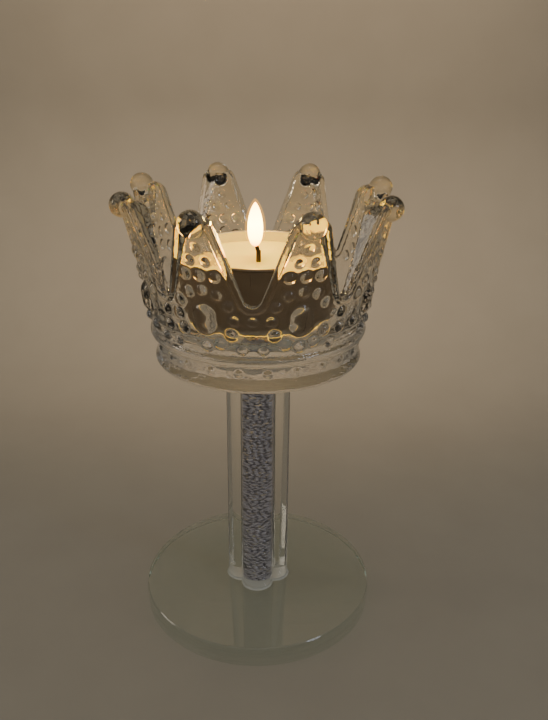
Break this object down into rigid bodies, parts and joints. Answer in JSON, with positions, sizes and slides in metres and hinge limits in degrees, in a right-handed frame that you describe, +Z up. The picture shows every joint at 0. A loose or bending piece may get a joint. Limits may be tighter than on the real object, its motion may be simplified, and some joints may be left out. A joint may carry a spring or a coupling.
{
  "type": "tealight holder",
  "caption": "Footed glass tealight holder: round base, lobed stem filled with crystal chips, and a ball-tipped crown cup around a lift-out tealight.",
  "frame": {"origin": "centre of the base's underside", "axes": "+Z up through the stem; one of the gaps between the crown's prongs faces -Y, the front; +X is to the right seen from the front"},
  "size_m": [0.067, 0.067, 0.1191],
  "materials": {
    "base_glass": "clear polished glass, faintly green at the edge",
    "clear_glue": "clear cured adhesive",
    "stem_glass": "clear drawn glass",
    "crystal": "cut facets, sparkling",
    "crown_glass": "clear pressed glass, fire polished",
    "aluminium": "thin drawn foil",
    "tin": "thin tinned steel",
    "wax": "paraffin wax, soft sheen",
    "wick": "burnt braided cotton"
  },
  "bodies": {
    "holder": {"base": "base_glass", "foot_glue": "clear_glue", "stem": "stem_glass", "crystal_fill": "crystal", "cup_glue": "clear_glue", "crown_cup": "crown_glass"},
    "tealight": {"tealight_cup": "aluminium", "wick_tab": "tin", "wax": "wax", "wick": "wick"}
  },
  "joints": [
    {"name": "tealight_lift", "type": "slide", "parent": "holder", "child": "tealight", "axis": [0, 0, 1], "range_m": [0, 0.045]}
  ]
}
